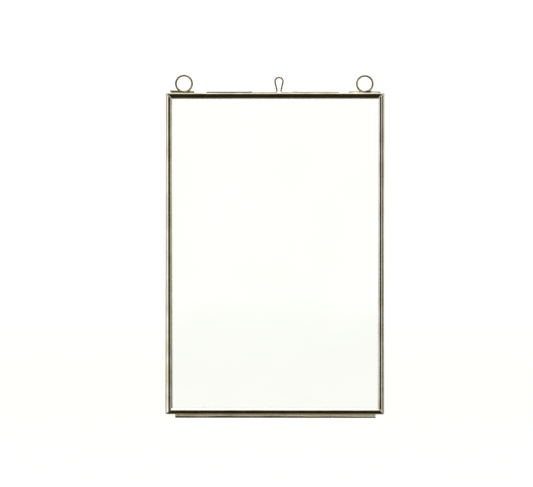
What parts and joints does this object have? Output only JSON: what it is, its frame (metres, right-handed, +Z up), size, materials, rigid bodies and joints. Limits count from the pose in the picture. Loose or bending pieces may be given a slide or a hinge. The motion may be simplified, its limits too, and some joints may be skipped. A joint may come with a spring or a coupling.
{
  "type": "hanging double-glass frame",
  "caption": "Hanging frame of hinged glass panes in thin metal channel, with wire rings and a spring clip, for keeping pressed flowers between the panes.",
  "frame": {"origin": "where the frame hangs: halfway across it, in the plane of the hanging rings, level with the inside of the ring tops", "axes": "+Z up, +X to the right seen from the front, -Y out of the front pane; the frame opens forward about an axis along X"},
  "size_m": [0.106, 0.0074, 0.1668],
  "materials": {
    "nickel_metal": "polished nickel-coloured channel and wire, slightly warm, dulled at the solder",
    "clear_glass": "clear float glass, faint green at the edges"
  },
  "bodies": {
    "back_frame": {"back_pane": "clear_glass", "back_rail_top": "nickel_metal", "back_rail_bottom": "nickel_metal", "back_rail_left": "nickel_metal", "back_rail_right": "nickel_metal", "hinge_knuckle_left": "nickel_metal", "hinge_knuckle_right": "nickel_metal", "hinge_pin": "nickel_metal", "hanging_ring_left": "nickel_metal", "hanging_ring_right": "nickel_metal", "closure_clip": "nickel_metal"},
    "front_frame": {"front_pane": "clear_glass", "front_rail_top": "nickel_metal", "front_rail_bottom": "nickel_metal", "front_rail_left": "nickel_metal", "front_rail_right": "nickel_metal", "hinge_knuckle_centre": "nickel_metal"}
  },
  "joints": [
    {"name": "front_frame_hinge", "type": "hinge", "parent": "back_frame", "child": "front_frame", "pos_m": [0, -0.0019, -0.16495], "axis": [1, 0, 0], "range_deg": [0, 180]}
  ]
}
